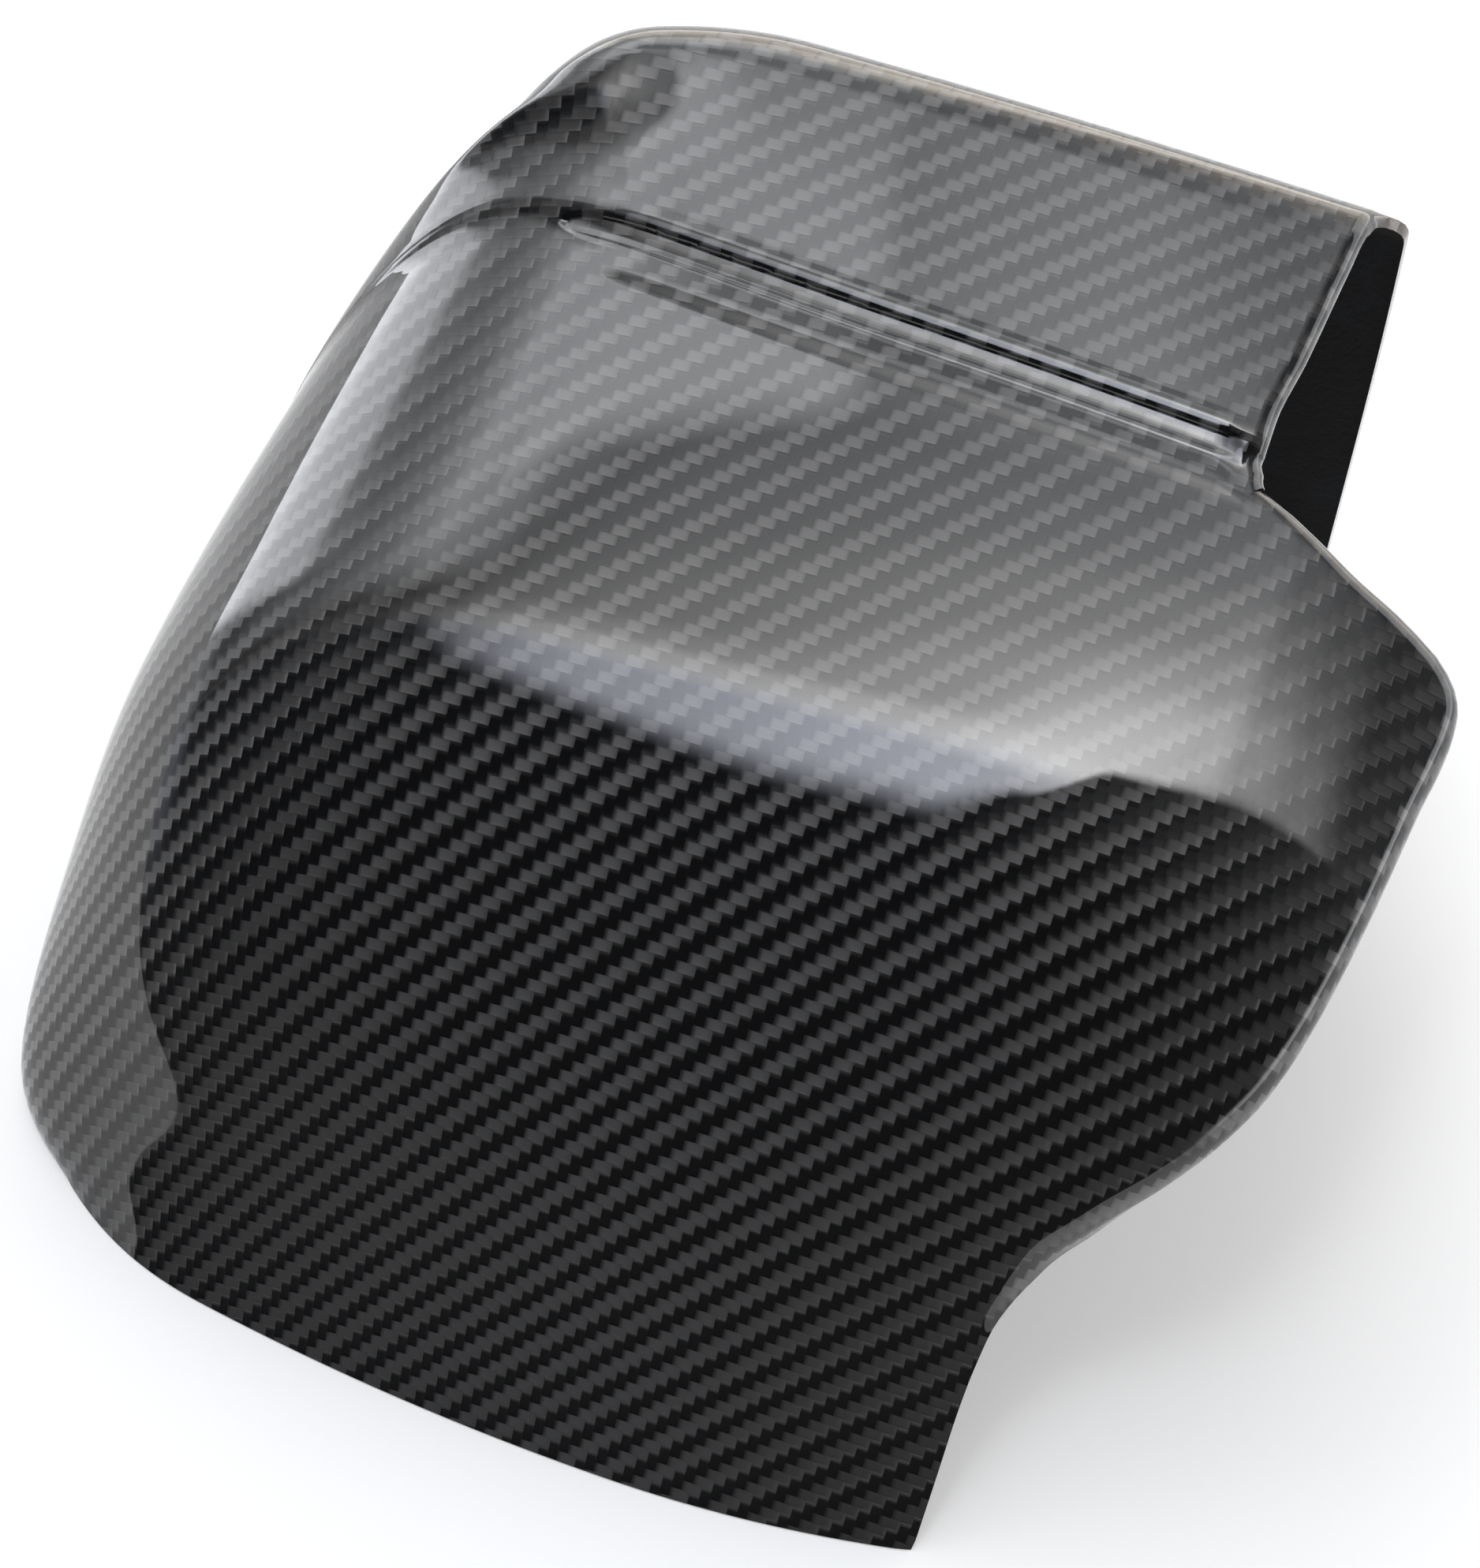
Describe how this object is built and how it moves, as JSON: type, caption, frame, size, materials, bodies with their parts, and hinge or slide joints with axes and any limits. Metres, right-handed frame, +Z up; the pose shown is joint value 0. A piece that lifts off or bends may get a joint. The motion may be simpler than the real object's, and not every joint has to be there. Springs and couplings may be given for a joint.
{
  "type": "wing mirror cover",
  "caption": "Wing mirror cover of clear-coated carbon-fibre laminate: a domed shell with a hood, a valley, a groove, an open inner end and a skirt.",
  "frame": {"origin": "centre of the bounding box in plan, on the flat face of the rim that it rests on", "axes": "+Z up out of the domed face, away from the rim; +X along the groove towards the open inner end; +Y towards the hood and its back wall"},
  "size_m": [0.2114, 0.2056, 0.1055],
  "materials": {
    "carbon_laminate": "two by two twill carbon fibre under a clear gloss coat; bare resin inside"
  },
  "bodies": {
    "root": {"cover_shell": "carbon_laminate"}
  },
  "joints": []
}
